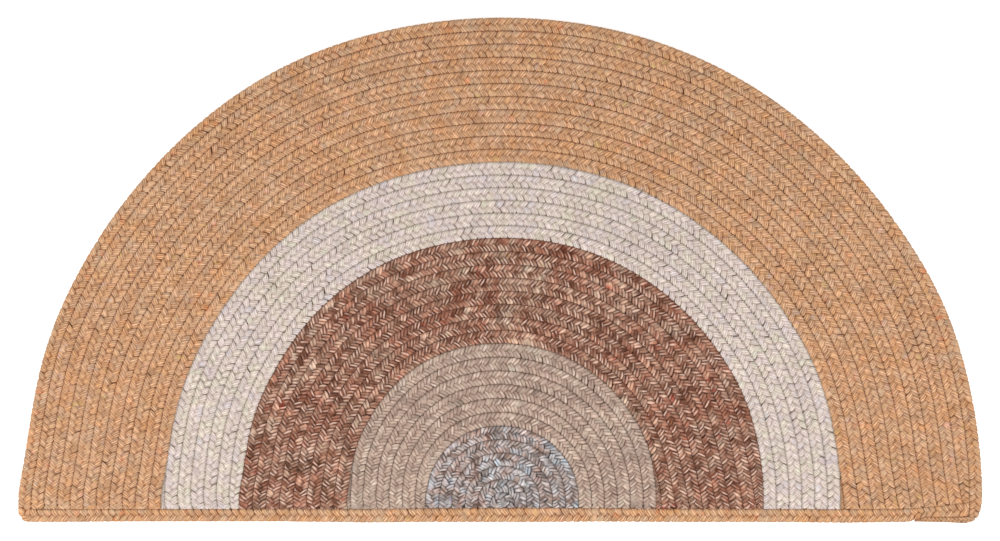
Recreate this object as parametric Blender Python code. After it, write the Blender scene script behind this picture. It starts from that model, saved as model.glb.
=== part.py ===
"""A half-round braided rug.

Flat plaits of wool lie side by side in half rings, in five colours from a small
hairpin in the middle of the straight side out to the rim. The outermost plait
turns both corners and finishes the straight side. In four of the bands the rows
lean at one foot, and the thin end of the band's plait is tucked in beside them.
Each plait is one solid, and so is each tucked end.

Metres, +Z up. The rug lies flat on z = 0 with its straight side along X and the
round side towards +Y. The origin is under the middle of its outline.
"""

import math

import bmesh
import bpy

# Sizes of the whole rug
THICKNESS = 0.0095
SEAM_GAP = 0.0003
RIM_RADIUS = 0.6062

# The rings' centre lies this far above the seam of the straight side's plait at its left end
BASE_SEAM = -0.0150
BASE_EDGE = -0.0314

# Plaits past the two innermost rows: each band's outer seam, on the straight side and at the crown
BANDS = (
    # name, rows, radius at the ends, radius at the crown
    ("core", 4, 0.0961, 0.0894),
    ("taupe", 6, 0.1942, 0.1932),
    ("rust", 8, 0.3297, 0.3273),
    ("cream", 6, 0.4269, 0.4233),
    ("wheat", 11, RIM_RADIUS, 0.6056),
)
SETTLE_POWER = 1.4

# The two innermost seams: the hairpin's, which turns lower than the rings, and the next row's
HAIRPIN_CENTRE = -0.0091
HAIRPIN_RADIUS = 0.0155
HAIRPIN_INNER_RADIUS = 0.0003
SECOND_END_RADIUS = 0.0305
SECOND_CROWN_RADIUS = 0.0228

# Soft unevenness of the rings, full at the rim and none in the middle
BULGES = (
    # direction in degrees, rise, spread in degrees
    (23.0, 0.0024, 6.0),
    (65.0, 0.0024, 12.0),
    (118.0, 0.0046, 11.0),
    (160.0, 0.0010, 6.0),
    (170.5, -0.0018, 4.5),
    (181.0, 0.0062, 3.0),
)
# Soft swellings of the middle bands to one side of the crown, full at one radius
INNER_BULGES = (
    # direction in degrees, rise, spread in degrees, radius, reach beyond it
    (120.0, 0.0028, 26.0, 0.160, 0.060),
    (133.0, 0.0022, 9.0, 0.380, 0.100),
)

# Seams between a band's rows that lean to the right at their feet, on one side of the rug
LEANS = {
    # band: side, number of seams, lean at the foot
    "taupe": ("left", 5, 0.0046),
    "rust": ("right", 7, 0.0090),
    "cream": ("left", 5, 0.0060),
    "wheat": ("right", 9, 0.0088),
}
LEAN_HEIGHT = 0.088
LEAN_POWER = 2.0

# The thin end of the band's plait, tucked in where the leaning rows leave their neighbour
TUCKED_ENDS = {
    # band: width at the foot, height of its point
    "taupe": (0.0050, 0.070),
    "rust": (0.0076, 0.075),
    "cream": (0.0052, 0.060),
    "wheat": (0.0052, 0.052),
}
TUCKED_POWER = 1.0
TIP_WIDTH = 0.0012
UPRIGHT = (0.0, 1.0, 1.0)

# The straight side's plait from left to right: the seam above it and its lower edge.
# It waves a little, and climbs at its right end, where the edge plait's tail passes below it.
STRAIGHT_SIDE = (
    # x, seam y, lower y
    (-0.5600, BASE_SEAM, BASE_EDGE),
    (-0.4800, -0.0150, -0.0307),
    (-0.2800, -0.0147, -0.0306),
    (-0.1700, -0.0148, -0.0321),
    (-0.0900, -0.0139, -0.0314),
    (0.0200, -0.0134, -0.0316),
    (0.1200, -0.0138, -0.0309),
    (0.2000, -0.0146, -0.0314),
    (0.3600, -0.0148, -0.0316),
    (0.4300, -0.0152, -0.0324),
    (0.5120, -0.0144, -0.0313),
    (0.5340, -0.0127, -0.0246),
    (0.5650, -0.0096, -0.0248),
    (0.5810, -0.0072, -0.0246),
    (0.5893, -0.0063, -0.0233),
)

# Faces along a half ring; the first and last steps of the wider rings are cut finer
OUTER_STEPS = 24
END_STEPS = 3
INNER_STEPS = 12
FINE_FROM_RADIUS = 0.09

# Round corners of the edge plait
CORNER_STEPS = 5
LEFT_CORNER_RADIUS = 0.0130
LEFT_FOLD_RADIUS = 0.0006

# The edge plait's thin tail, from its tip under the right end up to the side of the rug
TAIL = (
    # inner x, inner y, outer x, outer y, height
    (0.5220, -0.0287, 0.5220, -0.0310, 0.0060),
    (0.5340, -0.0251, 0.5340, -0.0311, 0.0080),
    (0.5650, -0.0253, 0.5650, -0.0317, THICKNESS),
    (0.5810, -0.0251, 0.5840, -0.0330, THICKNESS),
    (0.5885, -0.0247, 0.5945, -0.0304, THICKNESS),
    (0.5897, -0.0236, 0.6015, -0.0235, THICKNESS),
    (0.5900, -0.0120, 0.6050, -0.0125, THICKNESS),
)

# A plait's rounded section, as shares of its width and height
SECTION = (
    # across, up
    (0.12, 0.00),
    (0.88, 0.00),
    (1.00, 0.20),
    (1.00, 0.80),
    (0.88, 1.00),
    (0.12, 1.00),
    (0.00, 0.80),
    (0.00, 0.20),
)

# Wool colours as red, green and blue on a screen
YARNS = {
    "wheat": (0.80, 0.63, 0.46),
    "cream": (0.86, 0.82, 0.78),
    "rust": (0.55, 0.39, 0.32),
    "taupe": (0.70, 0.60, 0.53),
    "core": (0.64, 0.60, 0.60),
}
YARN_ROUGHNESS = 0.9
SMOOTH_UNDER_DEGREES = 50.0


def linear(screen_value):
    """Light's share for one screen colour value."""
    if screen_value <= 0.04045:
        return screen_value / 12.92
    return ((screen_value + 0.055) / 1.055) ** 2.4


def yarn_material(name):
    """Dull wool in one colour."""
    material = bpy.data.materials.new(name)
    material.use_nodes = True
    shader = material.node_tree.nodes["Principled BSDF"]
    red, green, blue = YARNS[name]
    shader.inputs["Base Color"].default_value = (linear(red), linear(green), linear(blue), 1.0)
    shader.inputs["Roughness"].default_value = YARN_ROUGHNESS
    shader.inputs["Metallic"].default_value = 0.0
    return material


def bulge(angle):
    """How far the rim swells in one direction."""
    degrees = math.degrees(angle)
    return sum(rise * math.exp(-0.5 * ((degrees - at) / spread) ** 2) for at, rise, spread in BULGES)


def inner_bulge(angle, radius):
    """How far a ring of the middle bands swells in one direction."""
    degrees = math.degrees(angle)
    swell = 0.0
    for at, rise, spread, full_at, reach in INNER_BULGES:
        swell += rise * math.exp(-0.5 * (((degrees - at) / spread) ** 2 + ((radius - full_at) / reach) ** 2))
    return swell


def seam_radius(end_radius, crown_radius, angle):
    """A seam's distance from the centre it turns round, in one direction."""
    blend = max(math.sin(angle), 0.0) ** SETTLE_POWER
    radius = end_radius + (crown_radius - end_radius) * blend
    return radius + bulge(angle) * radius / RIM_RADIUS + inner_bulge(angle, radius)


def base_seam(x):
    """The height of the seam above the straight side's plait."""
    for (x0, y0, _), (x1, y1, _) in zip(STRAIGHT_SIDE, STRAIGHT_SIDE[1:]):
        if x <= x1:
            share = max(x - x0, 0.0) / (x1 - x0)
            return y0 + (y1 - y0) * share
    return STRAIGHT_SIDE[-1][1]


def lean_at(seam, x, y):
    """How far a seam leans to the right at one of its points."""
    amount, height, power = seam[3] if x > 0.0 else seam[4]
    return amount * min(max(1.0 - (y - BASE_SEAM) / height, 0.0), 1.0) ** power


def ring_point(seam, angle, offset):
    """A point beside a seam, moved out by an offset."""
    centre, end_radius, crown_radius = seam[:3]
    radius = seam_radius(end_radius, crown_radius, angle) + offset
    x = radius * math.cos(angle)
    y = centre + radius * math.sin(angle)
    return x + lean_at(seam, x, y), y


def foot(seam, angle, offset):
    """The place beside a seam where it meets the straight side's plait."""
    _, end_radius, crown_radius = seam[:3]
    x = (seam_radius(end_radius, crown_radius, angle) + offset) * math.cos(angle)
    x += lean_at(seam, x, base_seam(x))
    return x, base_seam(x) + SEAM_GAP / 2


def leaning(seam, side, lean):
    """The same seam with a lean, a height above which it stops and a power, at one foot."""
    right = lean if side == "right" else seam[3]
    left = lean if side == "left" else seam[4]
    return seam[:3] + (right, left)


def seams():
    """The seams from the hairpin outwards, with the colour band inside each.

    A seam is the height of the centre it turns round, its end radius, its crown radius
    and how it leans at its right and left feet.
    """
    lines = [("core", (HAIRPIN_CENTRE, HAIRPIN_RADIUS, HAIRPIN_RADIUS, UPRIGHT, UPRIGHT))]
    lines.append(("core", (0.0, SECOND_END_RADIUS, SECOND_CROWN_RADIUS, UPRIGHT, UPRIGHT)))
    for name, rows, end_radius, crown_radius in BANDS:
        _, start_end, start_crown = lines[-1][1][:3]
        side, leaning_seams, lean = LEANS.get(name, ("right", 0, 0.0))
        for row in range(1, rows + 1):
            share = row / rows
            end = start_end + (end_radius - start_end) * share
            crown = start_crown + (crown_radius - start_crown) * share
            seam = (0.0, end, crown, UPRIGHT, UPRIGHT)
            if row <= leaning_seams:
                seam = leaning(seam, side, (lean, LEAN_HEIGHT, LEAN_POWER))
            lines.append((name, seam))
    return lines


def edge_seams():
    """The inner and outer line of the outermost plait."""
    lines = seams()
    return lines[-2][1], lines[-1][1]


def ring_angles(steps):
    """Directions of the sections along a half ring, from its right end round to its left end."""
    angles = [math.pi * step / steps for step in range(steps + 1)]
    if steps == INNER_STEPS:
        return angles
    finer = [angles[1] * share / END_STEPS for share in range(1, END_STEPS)]
    finish = [math.pi - angle for angle in reversed(finer)]
    return angles[:1] + finer + angles[1:-1] + finish + angles[-1:]


def ring_stations(inner_seam, outer_seam, steps):
    """Sections across one half ring, from its right end round to its left end."""
    half_gap = SEAM_GAP / 2
    stations = [(foot(inner_seam, 0.0, half_gap), foot(outer_seam, 0.0, -half_gap))]
    for angle in ring_angles(steps):
        stations.append((ring_point(inner_seam, angle, half_gap), ring_point(outer_seam, angle, -half_gap)))
    stations.append((foot(inner_seam, math.pi, half_gap), foot(outer_seam, math.pi, -half_gap)))
    return [(inner, outer, THICKNESS) for inner, outer in stations]


def between(first, second, share):
    """A point part of the way from one point to another."""
    return tuple(a + (b - a) * share for a, b in zip(first, second))


def tucked_stations(inner_seam, outer_seam, side):
    """Sections along a plait's thin end between two seams, from its foot up to its tip."""
    stations = ring_stations(inner_seam, outer_seam, OUTER_STEPS)
    if side == "left":
        stations.reverse()
    kept = []
    for station, following in zip(stations, stations[1:]):
        kept.append(station)
        width = math.dist(station[0], station[1])
        next_width = math.dist(following[0], following[1])
        if next_width < TIP_WIDTH:
            share = (width - TIP_WIDTH) / (width - next_width)
            inner = between(station[0], following[0], share)
            outer = between(station[1], following[1], share)
            return kept + [(inner, outer, THICKNESS)]
    return kept


def left_corner():
    """Sections across the edge plait as it folds round the left corner."""
    half_gap = SEAM_GAP / 2
    inner_seam, outer_seam = edge_seams()
    inner_x, _ = ring_point(inner_seam, math.pi, half_gap)
    outer_x, _ = ring_point(outer_seam, math.pi, 0.0)
    fold_x = inner_x + LEFT_FOLD_RADIUS
    fold_y = BASE_SEAM - half_gap + LEFT_FOLD_RADIUS
    round_x = outer_x + LEFT_CORNER_RADIUS
    round_y = BASE_EDGE + LEFT_CORNER_RADIUS
    stations = []
    for step in range(CORNER_STEPS + 1):
        angle = math.pi * (1.0 + 0.5 * step / CORNER_STEPS)
        turn_x = math.cos(angle)
        turn_y = math.sin(angle)
        inner = (fold_x + LEFT_FOLD_RADIUS * turn_x, fold_y + LEFT_FOLD_RADIUS * turn_y)
        outer = (round_x + LEFT_CORNER_RADIUS * turn_x, round_y + LEFT_CORNER_RADIUS * turn_y)
        stations.append((inner, outer, THICKNESS))
    return stations


def edge_stations():
    """Sections across the edge plait: tail, right side, arc, left corner and straight side."""
    inner_seam, outer_seam = edge_seams()
    half_gap = SEAM_GAP / 2
    tail = [((x0, y0), (x1, y1), height) for x0, y0, x1, y1, height in TAIL]
    arc = []
    for angle in ring_angles(OUTER_STEPS):
        inner = ring_point(inner_seam, angle, half_gap)
        arc.append((inner, ring_point(outer_seam, angle, 0.0), THICKNESS))
    run = [((x, seam_y - half_gap), (x, lower_y), THICKNESS) for x, seam_y, lower_y in STRAIGHT_SIDE]
    return tail + arc + left_corner() + run


def plan_middle(stations):
    """The middle of the rug's outline."""
    xs = [outer[0] for _, outer, _ in stations]
    ys = [outer[1] for _, outer, _ in stations]
    return (min(xs) + max(xs)) / 2, (min(ys) + max(ys)) / 2


def plait_solid(name, stations, material, middle, collection):
    """One plait: a closed loft through sections whose widths differ."""
    mesh_builder = bmesh.new()
    rings = []
    for (inner_x, inner_y), (outer_x, outer_y), height in stations:
        ring = []
        for across, up in SECTION:
            x = inner_x + (outer_x - inner_x) * across - middle[0]
            y = inner_y + (outer_y - inner_y) * across - middle[1]
            ring.append(mesh_builder.verts.new((x, y, height * up)))
        rings.append(ring)
    count = len(SECTION)
    for ring, next_ring in zip(rings, rings[1:]):
        for side in range(count):
            after = (side + 1) % count
            mesh_builder.faces.new((ring[side], ring[after], next_ring[after], next_ring[side]))
    mesh_builder.faces.new(rings[0])
    mesh_builder.faces.new(rings[-1])
    bmesh.ops.recalc_face_normals(mesh_builder, faces=mesh_builder.faces)
    mesh = bpy.data.meshes.new(name)
    mesh_builder.to_mesh(mesh)
    mesh_builder.free()
    mesh.shade_smooth()
    mesh.set_sharp_from_angle(angle=math.radians(SMOOTH_UNDER_DEGREES))
    mesh.materials.append(material)
    rug_piece = bpy.data.objects.new(name, mesh)
    collection.objects.link(rug_piece)


def hairpin_stations():
    """Sections across the plait's tight first turn in the middle."""
    inner_seam = (HAIRPIN_CENTRE, HAIRPIN_INNER_RADIUS, HAIRPIN_INNER_RADIUS, UPRIGHT, UPRIGHT)
    _, outer_seam = seams()[0]
    return ring_stations(inner_seam, outer_seam, INNER_STEPS)


def build():
    """The whole rug."""
    for scene_object in list(bpy.data.objects):
        bpy.data.objects.remove(scene_object, do_unlink=True)
    collection = bpy.data.collections.new("braided_rug")
    bpy.context.scene.collection.children.link(collection)
    materials = {name: yarn_material(name) for name in YARNS}

    stations = edge_stations()
    middle = plan_middle(stations)
    plait_solid("edge_braid", stations, materials["wheat"], middle, collection)
    plait_solid("core_row_1", hairpin_stations(), materials["core"], middle, collection)

    numbers = {name: 0 for name in YARNS}
    numbers["core"] = 1
    lines = seams()
    for (inner_band, inner_seam), (name, outer_seam), (outer_band, _) in zip(lines[:-2], lines[1:-1], lines[2:]):
        numbers[name] += 1
        side = LEANS[name][0] if name in LEANS else None
        if side == "right" and inner_band != name:
            tucked = leaning(inner_seam, side, TUCKED_ENDS[name] + (TUCKED_POWER,))
            stations = tucked_stations(inner_seam, tucked, side)
            plait_solid(f"{name}_end", stations, materials[name], middle, collection)
            inner_seam = tucked
        if side == "left" and outer_band != name:
            tucked = leaning(outer_seam, side, TUCKED_ENDS[name] + (TUCKED_POWER,))
            stations = tucked_stations(tucked, outer_seam, side)
            plait_solid(f"{name}_end", stations, materials[name], middle, collection)
            outer_seam = tucked
        steps = OUTER_STEPS if inner_seam[1] > FINE_FROM_RADIUS else INNER_STEPS
        stations = ring_stations(inner_seam, outer_seam, steps)
        plait_solid(f"{name}_row_{numbers[name]}", stations, materials[name], middle, collection)


build()
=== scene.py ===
"""Looks of a half-round braided rug.

Every row of the rug is a real three-strand plait. Each strand carries two or
three yarn ends side by side, passes over and under the others and runs unbroken
from one end of its row to the other. Waxed thread laces the rows together edge to edge.
"""

import math

import bpy
import numpy as np
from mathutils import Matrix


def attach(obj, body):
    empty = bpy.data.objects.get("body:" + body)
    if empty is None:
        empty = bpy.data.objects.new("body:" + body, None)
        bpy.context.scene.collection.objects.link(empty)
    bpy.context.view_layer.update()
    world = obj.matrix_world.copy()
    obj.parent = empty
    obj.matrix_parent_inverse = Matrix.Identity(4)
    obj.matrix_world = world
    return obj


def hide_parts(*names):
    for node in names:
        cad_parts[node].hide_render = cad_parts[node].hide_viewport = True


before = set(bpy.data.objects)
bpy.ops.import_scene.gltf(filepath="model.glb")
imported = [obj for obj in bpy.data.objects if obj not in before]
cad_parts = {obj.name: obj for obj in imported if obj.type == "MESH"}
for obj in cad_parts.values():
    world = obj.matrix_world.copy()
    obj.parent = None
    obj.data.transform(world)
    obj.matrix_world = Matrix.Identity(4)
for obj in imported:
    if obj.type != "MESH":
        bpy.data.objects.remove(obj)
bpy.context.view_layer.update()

# Sizes of the rug in metres, as in the frame
THICKNESS = 0.0095
SEAM_GAP = 0.0003
RIM_RADIUS = 0.6062
BASE_SEAM = -0.0150
BASE_EDGE = -0.0314

# Plaits past the two innermost rows: each band's outer seam, on the straight side and at the crown
BANDS = (
    # name, rows, radius at the ends, radius at the crown
    ("core", 4, 0.0961, 0.0894),
    ("taupe", 6, 0.1942, 0.1932),
    ("rust", 8, 0.3297, 0.3273),
    ("cream", 6, 0.4269, 0.4233),
    ("wheat", 11, RIM_RADIUS, 0.6056),
)
SETTLE_POWER = 1.4

# The two innermost seams: the hairpin's, which turns lower than the rings, and the next row's
HAIRPIN_CENTRE = -0.0091
HAIRPIN_RADIUS = 0.0155
HAIRPIN_INNER_RADIUS = 0.0003
SECOND_END_RADIUS = 0.0305
SECOND_CROWN_RADIUS = 0.0228

# Soft unevenness of the rings, full at the rim and none in the middle
BULGES = (
    # direction in degrees, rise, spread in degrees
    (23.0, 0.0024, 6.0),
    (65.0, 0.0024, 12.0),
    (118.0, 0.0046, 11.0),
    (160.0, 0.0010, 6.0),
    (170.5, -0.0018, 4.5),
    (181.0, 0.0062, 3.0),
)
# Soft swellings of the middle bands to one side of the crown, full at one radius
INNER_BULGES = (
    # direction in degrees, rise, spread in degrees, radius, reach beyond it
    (120.0, 0.0028, 26.0, 0.160, 0.060),
    (133.0, 0.0022, 9.0, 0.380, 0.100),
)

# Seams between a band's rows that lean to the right at their feet, on one side of the rug
LEANS = {
    # band: side, number of seams, lean at the foot
    "taupe": ("left", 5, 0.0046),
    "rust": ("right", 7, 0.0090),
    "cream": ("left", 5, 0.0060),
    "wheat": ("right", 9, 0.0088),
}
LEAN_HEIGHT = 0.088
LEAN_POWER = 2.0

# The thin end of the band's plait, tucked in where the leaning rows leave their neighbour
TUCKED_ENDS = {
    # band: width at the foot, height of its point
    "taupe": (0.0050, 0.070),
    "rust": (0.0076, 0.075),
    "cream": (0.0052, 0.060),
    "wheat": (0.0052, 0.052),
}
TUCKED_POWER = 1.0
TIP_WIDTH = 0.0012
# A foot that doesn't lean: lean, the height above which it stops, and power
UPRIGHT = (0.0, 1.0, 1.0)

# The straight side's plait from left to right: the seam above it and its lower edge
STRAIGHT_SIDE = np.array((
    # x, seam y, lower y
    (-0.5600, BASE_SEAM, BASE_EDGE),
    (-0.4800, -0.0150, -0.0307),
    (-0.2800, -0.0147, -0.0306),
    (-0.1700, -0.0148, -0.0321),
    (-0.0900, -0.0139, -0.0314),
    (0.0200, -0.0134, -0.0316),
    (0.1200, -0.0138, -0.0309),
    (0.2000, -0.0146, -0.0314),
    (0.3600, -0.0148, -0.0316),
    (0.4300, -0.0152, -0.0324),
    (0.5120, -0.0144, -0.0313),
    (0.5340, -0.0127, -0.0246),
    (0.5650, -0.0096, -0.0248),
    (0.5810, -0.0072, -0.0246),
    (0.5893, -0.0063, -0.0233),
))

# The edge plait's thin tail, from its tip under the right end up to the side of the rug
TAIL = np.array((
    # inner x, inner y, outer x, outer y, height
    (0.5220, -0.0287, 0.5220, -0.0310, 0.0060),
    (0.5340, -0.0251, 0.5340, -0.0311, 0.0080),
    (0.5650, -0.0253, 0.5650, -0.0317, THICKNESS),
    (0.5810, -0.0251, 0.5840, -0.0330, THICKNESS),
    (0.5885, -0.0247, 0.5945, -0.0304, THICKNESS),
    (0.5897, -0.0236, 0.6015, -0.0235, THICKNESS),
    (0.5900, -0.0120, 0.6050, -0.0125, THICKNESS),
))
# The seam between the straight side's plait and the tail laid below its end
TAIL_SEAM = np.array((
    # x, y
    (0.5896, -0.0068),
    (0.5896, -0.0228),
    (0.5886, -0.0240),
    (0.5810, -0.02485),
    (0.5650, -0.02505),
    (0.5340, -0.02485),
    (0.5230, -0.02830),
))
LEFT_CORNER_RADIUS = 0.0130
LEFT_FOLD_RADIUS = 0.0006

# Start of the random draws, and how far apart the strands' own numbers can be
SEED = 7
MOST_YARN_NUMBER = 500.0

# The plait: its strands share its width and thickness
STRANDS = 3
USUAL_HALF_WIDTH = 0.0082
SWING_SHARE = 0.713
STRAND_HALF_WIDTH_SHARE = 0.505
STRAND_HALF_HEIGHT_SHARE = 0.495
EDGE_KNEE = 0.93
FACE_KNEE = 0.86
SQUARED_FROM = 0.64
SQUARED_UP = 0.42
SQUARED_OUT = 0.08
STATION_SPACING = 0.003
END_CLEARANCE = 0.0006
END_PRESS = 0.004
END_SINK = 0.5
LEAST_ARC_STEPS = 12
CORNER_SECTIONS = 13

# A narrower plait turns faster: the power of its narrowness, and the limits of the change
FINENESS_POWER = 0.7
FINENESS_LIMITS = (0.3, 1.2)

# Unevenness of a plait: its size as a share, and the length over which it changes
PACE_UNEVENNESS = (0.07, 0.030)
TURN_UNEVENNESS = (0.021, 0.016)
SWING_UNEVENNESS = (0.07, 0.012)
BREADTH_UNEVENNESS = (0.165, 0.009)
HEIGHT_UNEVENNESS = (0.08, 0.009)

# A strand's way through half a turn: out from the middle on top, down at the edge and back below
LAY = np.array((
    # turn in degrees, across, up, lean in degrees, fullness, breadth
    (0.0, 0.00, 0.00, 0.0, 1.35, 1.00),
    (22.0, 0.40, 0.96, 0.0, 1.0, 0.98),
    (52.0, 0.92, 1.00, 0.0, 1.0, 1.12),
    (72.0, 1.11, 0.95, 45.0, 1.0, 1.00),
    (108.0, 1.11, -0.95, 135.0, 1.0, 1.00),
    (128.0, 0.92, -1.00, 180.0, 1.0, 1.12),
    (158.0, 0.40, -0.96, 180.0, 1.0, 0.98),
))

# A strand's flat rounded section, as shares of its half width and half height
STRAND_SECTION = np.array((
    # across, up
    (1.00, 0.00),
    (0.74, 0.90),
    (0.00, 1.00),
    (-0.74, 0.90),
    (-1.00, 0.00),
    (-0.74, -0.90),
    (0.00, -1.00),
    (0.74, -0.90),
))

# Quads that close a tube's end
END_QUADS = {
    8: ((3, 2, 1, 0), (7, 4, 3, 0), (7, 6, 5, 4)),
    4: ((3, 2, 1, 0),),
}

# Length of plait in which a strand swings out and back
TURN = {"core": 0.0272, "taupe": 0.0273, "rust": 0.0281, "cream": 0.0294, "wheat": 0.0278}

# The lacing thread between rows
LACING_HALF_WIDTH = 0.0007
LACING_HALF_HEIGHT = 0.0012
LACING_HEIGHT_SHARE = 0.84
LACING_DIP_SHARE = 0.36
LACING_SWING = 0.00025
LACING_LEAST_SWING = 0.4
LACING_SPACING = 0.0046
LACING_SECTION = np.array((
    # across, up
    (1.0, 0.0),
    (0.0, 1.0),
    (-1.0, 0.0),
    (0.0, -1.0),
))

# Strips of a baked skin: a tube's girth and usual step, the margin at a strip's sides, and how
# much of its place in the last strip an end face fills
STRIP_GIRTH = 0.021
STRIP_STEP = 0.0034
STRIP_MARGIN = 0.06
END_FACE_SHARE = 0.6

# Wool colours on a screen, along the slow drift of each band's dye
YARN_TONES = {
    # name: (place on the scale, red, green, blue)
    "wheat": (
        (0.00, 0.768, 0.575, 0.420),
        (0.35, 0.763, 0.592, 0.456),
        (0.65, 0.756, 0.597, 0.476),
        (1.00, 0.744, 0.612, 0.508),
    ),
    "edge": (
        (0.00, 0.765, 0.582, 0.420),
        (0.35, 0.760, 0.600, 0.460),
        (0.65, 0.752, 0.605, 0.482),
        (1.00, 0.738, 0.620, 0.518),
    ),
    "cream": (
        (0.00, 0.784, 0.764, 0.706),
        (0.30, 0.797, 0.754, 0.716),
        (0.65, 0.797, 0.742, 0.724),
        (1.00, 0.766, 0.738, 0.742),
    ),
    "rust": (
        (0.00, 0.422, 0.272, 0.209),
        (0.30, 0.517, 0.367, 0.301),
        (0.60, 0.613, 0.466, 0.399),
        (0.85, 0.693, 0.566, 0.487),
        (1.00, 0.774, 0.655, 0.578),
    ),
    "taupe": (
        (0.00, 0.594, 0.517, 0.473),
        (0.35, 0.642, 0.556, 0.510),
        (0.65, 0.680, 0.595, 0.540),
        (1.00, 0.756, 0.684, 0.629),
    ),
    "core": (
        (0.08, 0.462, 0.390, 0.362),
        (0.32, 0.584, 0.525, 0.498),
        (0.52, 0.664, 0.615, 0.602),
        (0.70, 0.706, 0.683, 0.680),
        (0.88, 0.680, 0.700, 0.732),
    ),
}
FLECK_TONES = {
    # name: (place on the scale, red, green, blue)
    "wheat": (
        (0.00, 0.820, 0.530, 0.350),
        (0.25, 0.810, 0.580, 0.490),
        (0.50, 0.735, 0.640, 0.600),
        (0.75, 0.745, 0.615, 0.420),
    ),
    "edge": (
        (0.00, 0.800, 0.470, 0.280),
        (0.35, 0.825, 0.550, 0.390),
        (0.65, 0.800, 0.610, 0.520),
        (1.00, 0.750, 0.620, 0.430),
    ),
    "cream": (
        (0.00, 0.741, 0.706, 0.728),
        (0.35, 0.792, 0.764, 0.706),
        (0.70, 0.819, 0.745, 0.718),
    ),
    "rust": (
        (0.00, 0.590, 0.268, 0.225),
        (0.40, 0.610, 0.335, 0.288),
        (0.65, 0.690, 0.590, 0.500),
        (1.00, 0.580, 0.390, 0.250),
    ),
    "taupe": (
        (0.00, 0.634, 0.584, 0.499),
        (0.50, 0.710, 0.594, 0.548),
    ),
    "core": (
        (0.00, 0.598, 0.653, 0.705),
        (0.35, 0.637, 0.593, 0.645),
        (0.60, 0.579, 0.465, 0.387),
        (0.80, 0.501, 0.396, 0.387),
    ),
}
# Painted shade: the dark colour of creases and of the lines between yarn ends and beside strands
CREASE_SHADE_TONE = {
    "wheat": (0.45, 0.245, 0.095),
    "edge": (0.47, 0.24, 0.08),
    "cream": (0.52, 0.43, 0.36),
    "rust": (0.272, 0.130, 0.067),
    "taupe": (0.37, 0.26, 0.19),
    "core": (0.19, 0.14, 0.13),
}
# How the colour leans from one place of the rug to the next
CASTS = {
    "wheat": ((1.00, 0.972, 0.935), (0.975, 0.998, 0.995)),
    "edge": ((1.00, 0.96, 0.92), (0.98, 1.00, 1.00)),
    "cream": ((1.00, 0.99, 0.965), (0.99, 0.98, 0.985)),
    "rust": ((1.00, 0.90, 0.86), (0.95, 1.00, 1.00)),
    "taupe": ((1.00, 0.985, 0.975), (0.985, 0.998, 0.99)),
    "core": ((1.00, 0.92, 0.88), (0.93, 0.98, 1.00)),
}
# Painted highlights along the ridges of yarn ends
HIGHLIGHT_TONE = {
    "wheat": (0.872, 0.715, 0.590),
    "edge": (0.868, 0.708, 0.578),
    "cream": (0.866, 0.832, 0.806),
    "rust": (0.818, 0.697, 0.635),
    "taupe": (0.800, 0.726, 0.672),
    "core": (0.768, 0.750, 0.746),
}
LACING_TONE = {
    "wheat": (0.62, 0.34, 0.12),
    "cream": (0.74, 0.66, 0.58),
    "rust": (0.54, 0.30, 0.18),
    "taupe": (0.55, 0.43, 0.35),
    "core": (0.50, 0.41, 0.37),
}

# How each wool varies: lengths in metres, shares (one of them the share of yarn ends given a
# painted highlight), and a strand's number of yarn ends
HEATHER_COLUMNS = (
    "Drift Length", "Fleck Length", "Fleck Share", "Strand Share",
    "Strand Shade", "End Shade", "Ridge Share", "Yarn Ends",
)
HEATHER = {
    "wheat": (0.018, 0.012, 0.30, 0.08, 0.10, 0.21, 0.46, 3.0),
    "edge": (0.018, 0.012, 0.32, 0.08, 0.10, 0.18, 0.45, 3.0),
    "cream": (0.020, 0.010, 0.14, 0.10, 0.08, 0.12, 0.40, 3.0),
    "rust": (0.014, 0.014, 0.25, 0.15, 0.14, 0.36, 0.58, 2.0),
    "taupe": (0.020, 0.012, 0.06, 0.15, 0.09, 0.20, 0.44, 2.0),
    "core": (0.014, 0.012, 0.24, 0.15, 0.32, 0.32, 0.42, 2.0),
}
# How strongly each wool shows its flecks, its painted highlights, and its painted shade in dark
# lines and creases
SHOWN = {
    # name: flecks, painted highlights, painted shadow lines between yarn ends, reach of these
    # lines, painted shadow lines beside a strand, painted shade in creases
    "wheat": (0.75, 0.90, 0.92, 0.60, 0.25, 0.72),
    "edge": (0.64, 0.92, 0.88, 0.70, 0.50, 0.86),
    "cream": (0.60, 0.78, 0.88, 0.55, 0.18, 0.60),
    "rust": (0.80, 0.95, 0.95, 0.90, 0.50, 0.90),
    "taupe": (0.50, 0.96, 0.94, 0.70, 0.28, 0.73),
    "core": (0.75, 0.96, 1.00, 0.90, 0.55, 1.00),
}

# How many patches fit in a metre, for each look that drifts over the rug
TONE_PATCHES = 60.0
FLECK_PATCHES = 85.0
FLECK_TONE_PATCHES = 45.0
CAST_PATCHES = 55.0
SHADE_PATCHES = 28.0
# The last two are patches of painted shade beside strands and in creases
SIDE_LINE_PATCHES = 110.0
GAP_PATCHES = 150.0

# Starts far apart, so that the looks that drift along a yarn don't follow each other
FLECK_START = 31.0
CREST_START = 57.0
SHADE_START = 77.0
LIT_START = 93.0
YARN_END_START = 251.3

# Dyed wool and painted highlights: from and to where each drift goes, and how softly flecks and the
# painted highlights on ridges begin
YARN_DRIFT = (0.25, 0.75)
PATCH_DRIFT = (0.3, 0.7)
TONE_DRIFT = (0.1, 0.9)
CREST_PLACES = (0.35, 0.62)
RIDGE_FADE = (0.06, 0.26)
PATCH_SHADES = (0.96, 1.04)
FLECK_SOFTNESS = 0.20
RIDGE_SOFTNESS = 0.4
SHADE_PACE = 1.3

# Half a strand's breadth, a little less so that its very edge is still on its last yarn end
HALF_ACROSS = 0.4995

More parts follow.
